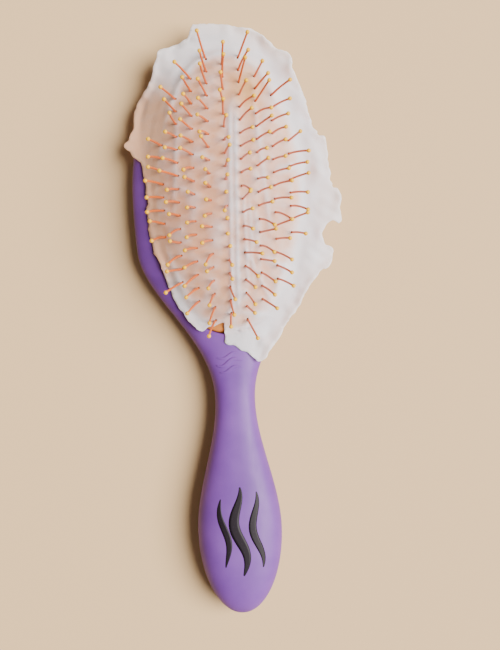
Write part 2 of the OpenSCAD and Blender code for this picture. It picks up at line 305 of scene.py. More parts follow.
def shell(name, values, front, profile, replaced):
    """A half of the body. The front is open round the cushion; the back is closed, with a well inside.
    profile lists (offset from the cushion's oval, height) along the wall of the opening or the well,
    to the joint between the shells. A height is a number or a function of x and y."""
    skin = Skin()
    lip = oval_point(OVAL_DIRECTIONS, LIP_ROUND)
    ys = np.concatenate([HANDLE_ROWS, lip[:, 1], TOP_ROWS])
    first, last = len(HANDLE_ROWS), len(HANDLE_ROWS) + len(lip)
    inner_x = np.zeros(len(ys))
    if front:
        inner_x[first:last] = np.maximum(lip[:, 0], 0)
    rows = [section(y, values, x, front) for y, x in zip(ys, inner_x)]
    low_tip = [[0, END_Y, PART_Z]] * (ACROSS + 1)
    high_tip = [[0, TOP_Y, PART_Z]] * (ACROSS + 1)
    if front:
        skin.grid([low_tip, *rows[: first + 1]])
        skin.grid(rows[first:last])
        skin.grid([*rows[last - 1 :], high_tip])
    else:
        skin.grid([low_tip, *rows, high_tip])
    # The wall, ring by ring
    rings = []
    for offset, height in profile:
        wall = oval_point(OVAL_DIRECTIONS, offset)
        wall[:, 0] = np.maximum(wall[:, 0], 0)
        z = height(*lip.T) if callable(height) else np.full(len(wall), float(height))
        rings.append(np.column_stack([wall, z]))
    if not front:
        floor_line = rings[0].copy()
        floor_line[:, 0] = 0
        rings.insert(0, floor_line)
    skin.grid(rings)
    # The flat face at the joint, from the outline in to the wall
    outline = np.array([row[0] for row in rows])
    inner = np.zeros_like(outline)
    inner[first:last] = rings[-1]
    low, high = rings[-1][0, 1], rings[-1][-1, 1]
    lip_low, lip_high = lip[0, 1], lip[-1, 1]
    inner[:first, 1] = mix(END_Y, low, (ys[:first] - END_Y) / (lip_low - END_Y))
    inner[last:, 1] = mix(high, TOP_Y, (ys[last:] - lip_high) / (TOP_Y - lip_high))
    inner[:, 2] = PART_Z
    skin.grid([mix(outline, inner, t) for t in np.linspace(0, 1, JOINT_QUADS + 1)])
    points, faces = skin.both_halves()
    return mesh_piece(name, points, faces, "handle", replaced)


def below_skin(drop):
    return lambda x, y: front_z(x, y) - drop


def front_shell():
    profile = []
    for turn in (0, 22.5, 45, 67.5, 90):
        a = math.radians(turn)
        profile.append((LIP_ROUND * (1 - math.sin(a)), below_skin(LIP_ROUND * (1 - math.cos(a)))))
    profile += [(0, LIP_Z + LIP_LAND), (0, LIP_Z), (RECESS, LIP_Z), (RECESS, PART_Z)]
    return shell("front_cover", FRONT_HEIGHTS, True, profile, ["front_shell"])


def back_shell():
    well = -LEDGE_W
    profile = [(well, CHAMBER_Z), (well, LEDGE_Z), (RECESS, LEDGE_Z), (RECESS, PART_Z)]
    return shell("back_cover", BACK_DEPTHS, False, profile, ["back_shell"])


# ---- Materials: each is a node tree on one Principled shader, in object space ----
def rgb(code):
    """The linear colour of an sRGB hex code."""
    shares = [int(code[i : i + 2], 16) / 255 for i in (1, 3, 5)]
    return (*[c / 12.92 if c <= 0.04045 else ((c + 0.055) / 1.055) ** 2.4 for c in shares], 1.0)


def add(tree, kind, inputs=None, **settings):
    """Adds a node. settings are its properties; inputs are values, or sockets to link, by name or place."""
    made = tree.nodes.new(kind)
    for key, value in settings.items():
        setattr(made, key, value)
    for key, value in (inputs or {}).items():
        if isinstance(value, bpy.types.NodeSocket):
            tree.links.new(value, made.inputs[key])
        else:
            made.inputs[key].default_value = value
    return made


def new_material(name, constants, colour=None, roughness=None, normal=None):
    """constants go on the shader's own sockets. colour, roughness and normal are functions of the
    tree and the object's coordinates, which add nodes and give the socket to link."""
    material = bpy.data.materials.new(name)
    material.use_nodes = True
    tree = material.node_tree
    shader = tree.nodes["Principled BSDF"]
    for key, value in constants.items():
        shader.inputs[key].default_value = value
    coords = add(tree, "ShaderNodeTexCoord").outputs["Object"]
    for key, make in (("Base Color", colour), ("Roughness", roughness), ("Normal", normal)):
        if make:
            tree.links.new(make(tree, coords), shader.inputs[key])
    return material


PER_MM = 1000  # a noise of scale PER_MM / size has features of about size millimetres
COLOR_A, COLOR_B, COLOR_OUT = 6, 7, 2  # the Mix node's colour sockets


def soft_touch_lacquer(name, low, high):
    """Moulded ABS under a sprayed soft-touch lacquer: satin, with a fine sprayed grain and faint rubs."""

    def colour(tree, coords):
        cloud = add(tree, "ShaderNodeTexNoise", {"Vector": coords, "Scale": PER_MM / 14, "Detail": 3})
        inputs = {"Value": cloud.outputs["Fac"], "From Min": 0.3, "From Max": 0.7}
        share = add(tree, "ShaderNodeMapRange", inputs)
        inputs = {"Factor": share.outputs[0], COLOR_A: rgb(low), COLOR_B: rgb(high)}
        return add(tree, "ShaderNodeMix", inputs, data_type="RGBA").outputs[COLOR_OUT]

    def roughness(tree, coords):
        stretched = add(tree, "ShaderNodeMapping", {"Vector": coords, "Scale": (1, 0.25, 1)})
        inputs = {"Vector": stretched.outputs[0], "Scale": PER_MM / 3, "Detail": 5}
        rubs = add(tree, "ShaderNodeTexNoise", inputs)
        inputs = {"Value": rubs.outputs["Fac"], "From Min": 0.35, "From Max": 0.7}
        inputs.update({"To Min": 0.5, "To Max": 0.6})
        return add(tree, "ShaderNodeMapRange", inputs).outputs[0]

    def normal(tree, coords):
        # The spray's grain is about 0.3 mm; it is drawn at 0.5 mm so that it shows
        grain = add(tree, "ShaderNodeTexNoise", {"Vector": coords, "Scale": PER_MM / 0.5, "Detail": 2})
        inputs = {"Height": grain.outputs["Fac"], "Distance": 0.06 * MM, "Strength": 0.35}
        return add(tree, "ShaderNodeBump", inputs).outputs[0]

    constants = {"IOR": 1.42, "Coat Weight": 0.04, "Coat Roughness": 0.35}
    return new_material(name, constants, colour, roughness, normal)


def pad_print_ink():
    """Pad-printed ink: a thin, purplish black film with tiny pinholes, as matt as the lacquer."""

    def colour(tree, coords):
        pores = add(tree, "ShaderNodeTexNoise", {"Vector": coords, "Scale": PER_MM / 0.4, "Detail": 2})
        inputs = {"Value": pores.outputs["Fac"], "From Min": 0.62, "From Max": 0.8}
        share = add(tree, "ShaderNodeMapRange", inputs)
        inputs = {"Factor": share.outputs[0], COLOR_A: rgb("#140B16"), COLOR_B: rgb("#3A2A46")}
        return add(tree, "ShaderNodeMix", inputs, data_type="RGBA").outputs[COLOR_OUT]

    return new_material("pad_print_ink", {"IOR": 1.38, "Roughness": 0.55}, colour)


def moulded_elastomer():
    """Injection-moulded thermoplastic elastomer: amber, slightly waxy and translucent, finely matt."""

    def colour(tree, coords):
        cloud = add(tree, "ShaderNodeTexNoise", {"Vector": coords, "Scale": PER_MM / 9, "Detail": 3})
        inputs = {"Factor": cloud.outputs["Fac"], COLOR_A: rgb("#C9762F"), COLOR_B: rgb("#DD9547")}
        return add(tree, "ShaderNodeMix", inputs, data_type="RGBA").outputs[COLOR_OUT]

    def roughness(tree, coords):
        bloom = add(tree, "ShaderNodeTexNoise", {"Vector": coords, "Scale": PER_MM / 5, "Detail": 4})
        inputs = {"Value": bloom.outputs["Fac"], "To Min": 0.36, "To Max": 0.6}
        return add(tree, "ShaderNodeMapRange", inputs).outputs[0]

    def normal(tree, coords):
        # Spark-eroded mould texture, about 0.2 mm, drawn at 0.4 mm so that it shows
        grain = add(tree, "ShaderNodeTexNoise", {"Vector": coords, "Scale": PER_MM / 0.4, "Detail": 2})
        inputs = {"Height": grain.outputs["Fac"], "Distance": 0.05 * MM, "Strength": 0.4}
        return add(tree, "ShaderNodeBump", inputs).outputs[0]

    constants = {"IOR": 1.5, "Subsurface Weight": 0.15, "Subsurface Scale": 2 * MM}
    return new_material("moulded_elastomer_amber", constants, colour, roughness, normal)


def spunlace():
    """Spunlaced viscose and polyester: a soft, thin, translucent web of fibres without a weave.
    Where it lies close, what is under it shows through as a pinkish tan, and an oiled patch is amber. The
    same tan, painted stronger towards the left and on the hanging left edge, is painted shade."""

    def colour(tree, coords):
        web = add(tree, "ShaderNodeTexNoise", {"Vector": coords, "Scale": PER_MM / 4, "Detail": 5})
        # The tan where the sheet lies close, with painted shade towards the left
        lies_close_and_shade = add(tree, "ShaderNodeAttribute", attribute_name="contact_and_shade").outputs["Fac"]
        inputs = {0: web.outputs["Fac"], 1: 0.3, 2: lies_close_and_shade}
        patchy = add(tree, "ShaderNodeMath", inputs, operation="MULTIPLY_ADD").outputs[0]
        inputs = {"Value": patchy, "From Min": 0.15, "From Max": 1.15}
        share = add(tree, "ShaderNodeMapRange", inputs)
        inputs = {"Factor": share.outputs[0], COLOR_A: rgb("#FCF7FF"), COLOR_B: rgb("#FFB890")}
        base = add(tree, "ShaderNodeMix", inputs, data_type="RGBA").outputs[COLOR_OUT]
        damp = add(tree, "ShaderNodeAttribute", attribute_name="oil").outputs["Fac"]
        inputs = {"Factor": damp, COLOR_A: base, COLOR_B: rgb("#F0A85C")}
        return add(tree, "ShaderNodeMix", inputs, data_type="RGBA").outputs[COLOR_OUT]

    def normal(tree, coords):
        # Fibres are about 0.02 mm thick and lie mostly along the sheet, too fine to show; they are
        # drawn as bundles 0.5 mm wide
        along_y = add(tree, "ShaderNodeMapping", {"Vector": coords, "Scale": (1, 0.3, 1)})
        inputs = {"Vector": along_y.outputs[0], "Scale": PER_MM / 0.5, "Detail": 3, "Distortion": 0.6}
        bundles = add(tree, "ShaderNodeTexNoise", inputs)
        inputs = {"Height": bundles.outputs["Fac"], "Distance": 0.12 * MM, "Strength": 0.5}
        return add(tree, "ShaderNodeBump", inputs).outputs[0]

    constants = {"Roughness": 0.85, "IOR": 1.45, "Sheen Weight": 0.6, "Sheen Roughness": 0.5}
    constants.update({"Subsurface Weight": 0.5, "Subsurface Scale": 2.5 * MM})
    constants["Subsurface Radius"] = (1, 0.85, 0.75)
    return new_material("spunlace_nonwoven", constants, colour, None, normal)


def drawn_nylon():
    """Drawn nylon monofilament, dyed copper orange: smooth and shiny, a little paler towards the tip."""

    def colour(tree, coords):
        up_stem = add(tree, "ShaderNodeAttribute", attribute_name="along").outputs["Fac"]
        streak = add(tree, "ShaderNodeTexNoise", {"Vector": coords, "Scale": PER_MM / 2, "Detail": 2})
        inputs = {0: streak.outputs["Fac"], 1: 0.35, 2: up_stem}
        patchy = add(tree, "ShaderNodeMath", inputs, operation="MULTIPLY_ADD").outputs[0]
        inputs = {"Value": patchy, "From Min": 0.1, "From Max": 1.2}
        share = add(tree, "ShaderNodeMapRange", inputs)
        inputs = {"Factor": share.outputs[0], COLOR_A: rgb("#D7620C"), COLOR_B: rgb("#E0741A")}
        return add(tree, "ShaderNodeMix", inputs, data_type="RGBA").outputs[COLOR_OUT]

    def normal(tree, coords):
        # Waviness left by the die, about 0.3 mm from crest to crest
        waves = add(tree, "ShaderNodeTexNoise", {"Vector": coords, "Scale": PER_MM / 0.3, "Detail": 1})
        inputs = {"Height": waves.outputs["Fac"], "Distance": 0.02 * MM, "Strength": 0.3}
        return add(tree, "ShaderNodeBump", inputs).outputs[0]

    return new_material("drawn_nylon_copper", {"Roughness": 0.34, "IOR": 1.53}, colour, None, normal)


def dipped_resin():
    """Ball tips dipped in yellow resin: smooth drops with a soft shine, a little uneven in colour."""

    def colour(tree, coords):
        cloud = add(tree, "ShaderNodeTexNoise", {"Vector": coords, "Scale": PER_MM / 1.5, "Detail": 2})
        inputs = {"Factor": cloud.outputs["Fac"], COLOR_A: rgb("#E6AA00"), COLOR_B: rgb("#FFC800")}
        return add(tree, "ShaderNodeMix", inputs, data_type="RGBA").outputs[COLOR_OUT]

    return new_material("dipped_resin_yellow", {"Roughness": 0.4, "IOR": 1.4}, colour)


def moulded_polypropylene():
    """Moulded polypropylene of the frame: plain, waxy, with faint flow marks along its length."""

    def colour(tree, coords):
        drawn_out = add(tree, "ShaderNodeMapping", {"Vector": coords, "Scale": (1, 0.2, 1)})
        inputs = {"Vector": drawn_out.outputs[0], "Scale": PER_MM / 5, "Detail": 3}
        flow = add(tree, "ShaderNodeTexNoise", inputs)
        inputs = {"Factor": flow.outputs["Fac"], COLOR_A: rgb("#5F4180"), COLOR_B: rgb("#765497")}
        return add(tree, "ShaderNodeMix", inputs, data_type="RGBA").outputs[COLOR_OUT]

    def normal(tree, coords):
        # The mould's fine texture, about 0.2 mm, drawn at 0.6 mm so that it shows
        grain = add(tree, "ShaderNodeTexNoise", {"Vector": coords, "Scale": PER_MM / 0.6, "Detail": 2})
        inputs = {"Height": grain.outputs["Fac"], "Distance": 0.04 * MM, "Strength": 0.4}
        return add(tree, "ShaderNodeBump", inputs).outputs[0]

    return new_material("moulded_polypropylene", {"Roughness": 0.48, "IOR": 1.49}, colour, None, normal)


def dress(piece, material):
    """Gives a piece its material."""
    piece.data.materials.clear()
    piece.data.materials.append(material)
    return piece


# ---- Body ----
# One lacquer on both shells; the back's copy is painted darker, as painted shade on the lower shell that
# faces the floor.
FRONT_LACQUER = soft_touch_lacquer("soft_touch_lacquer_on_abs_front", "#6B3D95", "#7949A2")
SHADED_BACK_LACQUER = soft_touch_lacquer("soft_touch_lacquer_on_abs_back_shaded", "#62378C", "#6D4296")

COVER_CRISP = 32  # degrees
for cover, lacquer, slot_name in (
    (front_shell(), FRONT_LACQUER, "body_front"),
    (back_shell(), SHADED_BACK_LACQUER, "body_back"),
):
    smooth_by_angle(cover, COVER_CRISP)
    dress(cover, lacquer)
dress(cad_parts["cushion_frame"], moulded_polypropylene())


# ---- Pad-printed mark on the handle and raised mark on the neck: plain wavy hair strands ----
RIBBON_QUADS, STRAND_STEPS = 4, 72
END_SHARE, FULLNESS = 0.12, 0.8  # a strand's width at its ends, and how soon it is full
STRAND_LAG = 0.12  # how far the waves of neighbouring strands are out of step


def ribbon(path, widths, height):
    """A thin strip along a path in the plan view, lying on the front shell: points and faces."""
    path = np.asarray(path, float)
    ahead = np.gradient(path, axis=0)
    ahead /= np.linalg.norm(ahead, axis=1)[:, None]
    side = np.stack([-ahead[:, 1], ahead[:, 0]], -1)
    across = np.linspace(-0.5, 0.5, RIBBON_QUADS + 1)
    flat = path[:, None, :] + side[:, None, :] * (across[None, :, None] * widths[:, None, None])
    x, y = flat[..., 0], flat[..., 1]
    z = front_z(x, y) + height
    wide = len(across)
    faces = []
    for j in range(len(path) - 1):
        for i in range(wide - 1):
            a = j * wide + i
            faces.append((a, a + wide, a + wide + 1, a + 1))
    return np.stack([x, y, z], -1).reshape(-1, 3), faces


def strands(name, centre, tilt, rows, material, height, thickness):
    """Wavy strands side by side, tilted in degrees, with their tops at a height over the lacquer.
    rows lists (offset across, length, waves, swing, width)."""
    points, faces = [], []
    c, s = math.cos(math.radians(tilt)), math.sin(math.radians(tilt))
    for offset, length, waves, swing, width in rows:
        t = np.linspace(0, 1, STRAND_STEPS)
        widths = width * mix(END_SHARE, 1, np.sin(np.pi * t) ** FULLNESS)
        u = offset + swing * np.sin(2 * np.pi * waves * t + offset * STRAND_LAG)
        v = (t - 0.5) * length
        path = np.stack([centre[0] + u * c - v * s, centre[1] + u * s + v * c], -1)
        more, quads = ribbon(path, widths, height)
        faces += [tuple(len(points) + i for i in q) for q in quads]
        points += list(more)
    piece = mesh_piece(name, points, faces, "handle")
    thicken(piece, thickness, -1)
    shade_smooth(piece)
    return dress(piece, material)


PRINT_ROWS = [(-6.6, 27, 1.1, 1.3, 2.8), (-0.6, 35, 1.3, 1.9, 4.4), (6.2, 30, 1.2, 1.5, 3.2)]
NECK_ROWS = [(-2.7, 9, 1.0, 0.7, 1.3), (0, 11, 1.1, 0.9, 1.7), (2.8, 9.5, 1.0, 0.7, 1.3)]
strands("handle_print", (0.6, -136), 4, PRINT_ROWS, pad_print_ink(), height=0.035, thickness=0.16)
strands("neck_mark", (-1.5, -69), -78, NECK_ROWS, FRONT_LACQUER, height=0.16, thickness=0.4)


# ---- Plane regions filled with triangles ----
def in_loop(points, loop):
    """Which points lie inside a closed loop, by counting crossings."""
    inside = np.zeros(len(points), bool)
    for (x0, y0), (x1, y1) in zip(loop, np.roll(loop, -1, axis=0)):
        crosses = (y0 > points[:, 1]) != (y1 > points[:, 1])
        at = x0 + (points[:, 1] - y0) * (x1 - x0) / (y1 - y0 + 1e-12)
        inside ^= crosses & (points[:, 0] < at)
    return inside


SHAKE = 0.12  # share of the grid's pitch


def grid_points(reach_x, reach_y, pitch, seed):
    """A triangular grid round the origin, a little shaken so that no rows show."""
    rng = np.random.default_rng(seed)
    step = pitch * math.sqrt(3) / 2
    ys = np.arange(-reach_y, reach_y, step)
    xs = np.arange(-reach_x, reach_x, pitch)
    x, y = np.meshgrid(xs, ys)
    x = x + pitch / 2 * (np.arange(len(ys)) % 2)[:, None]
    points = np.stack([x.ravel(), y.ravel()], -1)
    return points + rng.uniform(-SHAKE, SHAKE, points.shape) * pitch


SAME_POINT = 1e-4


def fill_plane(loops, loose, keep):
    """Triangles between all the points; keep() says which triangles stay, by their middles."""
    points = [Vector(p) for loop in loops for p in loop] + [Vector(p) for p in loose]
    edges, start = [], 0
    for loop in loops:
        edges += [(start + i, start + (i + 1) % len(loop)) for i in range(len(loop))]
        start += len(loop)
    found = geometry.delaunay_2d_cdt(points, edges, [], 0, SAME_POINT)
    flat = np.array([tuple(p) for p in found[0]])
    triangles = np.array([tuple(f) for f in found[2]])
    return flat, triangles[keep(flat[triangles].mean(1))]


def nearest(points, places):
    """Distance from each point to the closest of the places."""
    best = np.full(len(points), np.inf)
    for place in places:
        best = np.minimum(best, np.hypot(*(points - place).T))
    return best


def ring(centre, radius, n, turn=0.0):
    """n points round a circle, the first one turned from +X by turn."""
    a = turn + np.linspace(0, 2 * math.pi, n, endpoint=False)
    return np.stack([centre[0] + radius * np.cos(a), centre[1] + radius * np.sin(a)], -1)



# ---- Cushion: a domed rubber skin with a small boss round each pin ----
EDGE_ROUND = 1.2
BOSS_R, BOSS_RISE = 1.9, 0.28
BOSS_RINGS = ((0.75, 8, 0.0), (1.25, 8, 0.39), (BOSS_R, 10, 0.0))  # radius, points and turn
RUBBER_PITCH, RUBBER_SEED = 1.15, 5
POINT_GAP, EDGE_GAP = 0.45, 0.5  # how far loose points stay off the fixed ones and off the edge
CUSHION_CRISP = 50  # degrees


def cushion_outline(grow):
    """The whole oval, the right half and then its mirror image."""
    right = oval_point(OVAL_DIRECTIONS, grow)
    return np.concatenate([right, right[::-1][1:-1] * [-1, 1]])


def cushion():
    top_edge = -FIT - EDGE_ROUND
    loose = grid_points(HALF_W + 1, HALF_LEN + 1, RUBBER_PITCH, RUBBER_SEED)
    in_edge = oval_distance(*loose.T) < top_edge - EDGE_GAP
    loose = list(loose[in_edge & (nearest(loose, FEET) > BOSS_R + POINT_GAP)])
    for foot in FEET:
        loose.append(foot)
        for radius, n, turn in BOSS_RINGS:
            loose.extend(ring(foot, radius, n, turn))
    loop = cushion_outline(top_edge)
    flat, triangles = fill_plane([loop], loose, lambda m: oval_distance(*m.T) < top_edge)
    boss = np.clip(1 - nearest(flat, FEET) / BOSS_R, 0, 1)
    z = dome_z(*flat.T) + BOSS_RISE * ease(boss)
    points = list(np.column_stack([flat, z]))
    faces = [tuple(t) for t in triangles]
    # The rounded edge and the skirt down to the flange, ring by ring
    edge_z = dome_z(*loop.T)
    rings = []
    for turn in np.radians([0, 18, 36, 54, 72, 90]):
        flat_ring = cushion_outline(top_edge + EDGE_ROUND * math.sin(turn))
        rings.append(np.column_stack([flat_ring, edge_z - EDGE_ROUND * (1 - math.cos(turn))]))
    for skirt_z in (LIP_Z, FLANGE_Z):
        rings.append(np.column_stack([cushion_outline(-FIT), np.full(len(edge_z), skirt_z)]))
    n = len(edge_z)
    for upper, lower in zip(rings, rings[1:]):
        start = len(points)
        points += list(upper) + list(lower)
        for i in range(n):
            j = (i + 1) % n
            faces.append((start + i, start + j, start + n + j, start + n + i))
    piece = mesh_piece("rubber_cushion", points, faces, "handle", ["cushion"])
    thicken(piece, CUSHION_T, -1)
    smooth_by_angle(piece, CUSHION_CRISP)
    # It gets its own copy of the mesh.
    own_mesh(piece)
    return dress(piece, moulded_elastomer())


cushion()


# ---- Bristles: tapered nylon stems, each a little bent its own way, and dipped ball tips ----
def tube(centres, radii, sides):
    """A round tube through the centres, with a radius at each and closed ends: points and faces."""
    centres = np.asarray(centres, float)
    ahead = np.gradient(centres, axis=0)
    ahead /= np.linalg.norm(ahead, axis=1)[:, None]
    first = np.cross(ahead, [1.0, 0.0, 0.0])
    first /= np.linalg.norm(first, axis=1)[:, None]
    second = np.cross(ahead, first)
    turn = np.linspace(0, 2 * math.pi, sides, endpoint=False)
    rings = [
        c + r * (np.outer(np.cos(turn), u) + np.outer(np.sin(turn), v))
        for c, r, u, v in zip(centres, radii, first, second)
    ]
    points = np.concatenate([*rings, centres[:1], centres[-1:]])
    faces = []
    last = len(rings) - 1
    for j in range(last):
        for i in range(sides):
            k = (i + 1) % sides
            faces.append((j * sides + i, j * sides + k, (j + 1) * sides + k, (j + 1) * sides + i))
    bottom, top = len(points) - 2, len(points) - 1
    for i in range(sides):
        k = (i + 1) % sides
        faces += [(bottom, k, i), (top, last * sides + i, last * sides + k)]
    return points, faces


ROOT = -1.0  # the stem starts this far under the rubber's skin
ROOT_SWELL = 0.07  # extra radius at the root
STEM_RINGS, STEM_SIDES, TIP_SIDES = 8, 8, 12
# A ball tip's places along the stem's end, and its radius at each
TIP_PROFILE = [
    (-1.1, 0.44), (-0.8, 0.56), (-0.5, 0.72), (-0.1, 0.8), (0.25, 0.77), (0.5, 0.62), (0.7, 0.33),
]  # fmt: skip
RNG = np.random.default_rng(41)
USUAL_BEND, WILD_BEND, WILD_SHARE = 0.7, 2.2, 0.12  # bends at the tip, and the share of the larger ones
BEND_N = 1.6  # the bend grows along the stem by this power
DRAG_X, DRAG_Y = 0.9, -1.8  # all tips are dragged this far
TOP_PUSH, TOP_N = 4.0, 5  # tips at the top of the head are pushed further out
CLING_SHARE, CLING = 0.16, 0.34  # neighbours that cling, and how far each moves, in row pitches


def tip_shifts(column):
    """How far each tip of a column stands off its straight stem: dragged, pushed and bent at random."""
    shifts = []
    for foot, way in column:
        aside = np.cross(np.array(way), RNG.normal(size=3))
        aside /= np.linalg.norm(aside)
        bend = WILD_BEND if RNG.random() < WILD_SHARE else USUAL_BEND
        push = TOP_PUSH * max(0, foot.y / HALF_LEN) ** TOP_N
        shifts.append(aside * bend * RNG.uniform(0.3, 1) + [DRAG_X, DRAG_Y + push, 0])
    # Some neighbours cling to each other, tip to tip
    for j in range(len(column) - 1):
        if RNG.random() < CLING_SHARE:
            shifts[j][1] += CLING * ROW_PITCH
            shifts[j + 1][1] -= CLING * ROW_PITCH
    return shifts


def stem_line(foot, way, shift):
    """Points along a stem: straight at the root, bent further out."""
    t = np.linspace(ROOT, STEM_LEN, STEM_RINGS)
    share = np.clip(t / STEM_LEN, 0, 1)
    return np.array(foot) + np.outer(t, way) + np.outer(share**BEND_N, shift)


def gather(parts):
    """Joins the points and faces of several parts into one list each."""
    points, faces, start = [], [], 0
    for more, quads in parts:
        points.append(more)
        faces += [tuple(start + i for i in q) for q in quads]
        start += len(more)
    return np.concatenate(points), faces


def point_attribute(piece, name, values):
    attribute = piece.data.attributes.new(name, "FLOAT", "POINT")
    attribute.data.foreach_set("value", np.asarray(values, np.float32))


def bristle_column(k, nylon, resin):
    """The stems and the ball tips of a column, one piece each, on the column's own body."""
    stems, tips = [], []
    column = bristles(k)
    radii = np.linspace(STEM_D / 2 + ROOT_SWELL, STEM_D / 2, STEM_RINGS)
    for (foot, way), shift in zip(column, tip_shifts(column)):
        line = stem_line(foot, way, shift)
        stems.append(tube(line, radii, STEM_SIDES))
        end = line[-1] - line[-2]
        end /= np.linalg.norm(end)
        places = [line[-1] + end * at for at, radius in TIP_PROFILE]
        tips.append(tube(places, [radius for at, radius in TIP_PROFILE], TIP_SIDES))
    body = f"column_{k}"
    piece = mesh_piece(f"nylon_stems_{k}", *gather(stems), body, [f"stems_{k}"])
    heights = np.array([v.co.z for v in piece.data.vertices]) / MM
    share = (heights - PART_Z - DOME_EDGE) / (DOME_RISE + STEM_LEN)
    point_attribute(piece, "along", np.clip(share, 0, 1))
    dress(piece, nylon)
    piece = mesh_piece(f"ball_tips_{k}", *gather(tips), body, [f"tips_{k}"])
    dress(piece, resin)


NYLON, RESIN = drawn_nylon(), dipped_resin()
for number in range(1, COLUMNS + 1):
    bristle_column(number, NYLON, RESIN)


# ---- Sheet: torn round its edge, pushed over the bristles, lying on the rubber ----
SHEET_T = 0.25
SHEET_GAP = 0.3  # the least room between the sheet and the rubber
SHELF_Z = 13.4  # height at which the sheet leaves the rubber
LAID_LIFT, CREASE_RISE, PIN_RISE, RIDGE_RISE, FOLD_RISE, EDGE_CURL = 0.2, 0.2, 0.16, 1.1, 1.3, 1.4
CREASE_LEN, CREASE_W, CREASE_SLANT, PIN_W = 6.5, 1.0, 0.04, 1.15
LEVEL, DROOP = 0.07, -0.75  # slope of the free edge, where it stands out and where it hangs
RIM_GAP = 0.5
CURL_W = 3.0  # width of the curled edge
# The flat sheet's outline, which torn_edge() rounds and frays
SHEET_EDGE = [
    (-11, 67), (2, 66), (7, 65), (13, 63), (20, 57), (26, 53), (28, 50), (28, 47), (31, 40), (34, 29),
    (37, 21), (40, 19), (41, 13), (41, 8), (42, 0), (45, -2), (45, -14), (42, -14), (38.8, -16.5),
    (37.5, -20.5), (38.8, -23.5), (41, -25.5), (41, -29), (39, -33), (36, -34), (30, -42), (27, -48),
    (22, -54), (17, -62), (11, -69), (7, -67), (2, -63), (-3, -61), (-3, -53), (-7, -54), (-9, -54),
    (-12, -56), (-14, -55), (-17, -52), (-20, -48), (-23, -42), (-26, -34), (-29, -26), (-31, -20),
    (-32, -10), (-32, 1), (-33, 7), (-35, 13), (-38, 16), (-40, 20), (-37, 26), (-36, 34), (-33, 40),
    (-30, 44), (-27, 51), (-26, 54), (-25, 57), (-20, 58), (-14, 62),
]  # fmt: skip


TEAR = 0.22  # usual depth of a small tear


def torn_edge(step, seed):
    """A smooth loop through the outline's corners, its points about step apart, with small tears."""
    rng = np.random.default_rng(seed)
    corners = np.array(SHEET_EDGE, float)
    loop = []
    for i in range(len(corners)):
        a, b, c, d = (corners[(i + j) % len(corners)] for j in (-1, 0, 1, 2))
        n = max(2, int(np.linalg.norm(c - b) / step))
        for t in np.arange(n) / n:
            bent = 2 * b + t * (c - a) + t**2 * (2 * a - 5 * b + 4 * c - d)
            loop.append((bent + t**3 * (3 * b - a - 3 * c + d)) / 2)
    loop = np.array(loop)
    ragged = np.convolve(rng.normal(size=len(loop) + 4), [0.2, 0.5, 1, 0.5, 0.2], "valid") * TEAR
    out = np.roll(loop, -1, axis=0) - np.roll(loop, 1, axis=0)
    out = np.stack([-out[:, 1], out[:, 0]], -1) / np.linalg.norm(out, axis=1)[:, None]
    return loop + out * ragged[:, None]


def bump(u, width):
    """1 at u = 0, falling away as a bell does."""
    return np.exp(-((u / width) ** 2))


def off_line(x, y, x0, y0, x1, y1):
    """Distance from a straight line between two points, longer past its ends so that a fold tapers."""
    length = math.hypot(x1 - x0, y1 - y0)
    ahead = ((x - x0) * (x1 - x0) + (y - y0) * (y1 - y0)) / length
    aside = ((x - x0) * (y1 - y0) - (y - y0) * (x1 - x0)) / length
    past = np.maximum(0, np.maximum(-ahead, ahead - length))
    return np.hypot(aside, past / 4)


# Folds in the sheet: two ends, width and share of the usual rise
FOLDS = [
    (0.6, -44, 2.4, 27, 0.8, 0.6),
    (3.0, -44, 4.7, 25, 0.8, 0.7),
    (1.8, -42, 3.6, 26, 2.2, 0.35),
    (7.2, -35, 6.7, -6, 0.7, 0.45),
    (9.3, -36, 8.8, -8, 0.7, 0.4),
    (11.8, -33, 11.2, -12, 0.8, 0.35),
    (7.6, -27, 14.6, -42, 0.9, 0.5),
    (4.0, -43, -1.0, -49, 1.0, 0.45),
    (16.5, -16, 12.5, 31, 1.0, 0.45),
    (20, -31, 31, -37, 1.5, 0.6),
    (9, -50, 21, -52, 1.5, 0.7),
    (-21, -6, -19, 22, 1.2, 0.35),
    (-8, 12, -24, 16, 1.2, 0.3),
    (-26, 41, -15, 55, 1.6, 0.7),
    (27, 8, 40, 12, 2.0, 0.8),
    (30, 26, 24, 46, 1.8, 0.6),
]


def smooth_max(a, b, blur):
    """The larger of two values, rounded over where they cross."""
    return (a + b + np.sqrt((a - b) ** 2 + blur**2)) / 2


WAVES, WAVE_SUM = 9, 3.6  # how many waves, and the sum that they seldom pass


def crumple(x, y, size, seed):
    """Soft noise, mostly within -1 to 1, from a few waves that run in seeded directions."""
    rng = np.random.default_rng(seed)
    total = np.zeros(len(x))
    for _ in range(WAVES):
        way, start = rng.uniform(0, 2 * math.pi, 2)
        wave = 2 * math.pi / (size * rng.uniform(0.7, 1.5))
        total += np.sin(wave * (x * math.cos(way) + y * math.sin(way)) + start)
    return total / WAVE_SUM


def rubber_z(x, y):
    """Height of the cushion, held at its edge's value further out."""
    return dome_z(np.clip(x, -HALF_W, HALF_W), np.clip(y, -HALF_LEN, HALF_LEN))


def on_rubber(out):
    """1 from 4.5 mm inside the cushion's oval, 0 outside it; out is the distance from it."""
    return ease((-out - 0.5) / 4)


def hangs(x, y):
    """1 on the left, where the sheet's edge hangs down over the rim, and 0 elsewhere."""
    return ease((-x - 12) / 14) * ease((50 - np.abs(y - 4)) / 20)


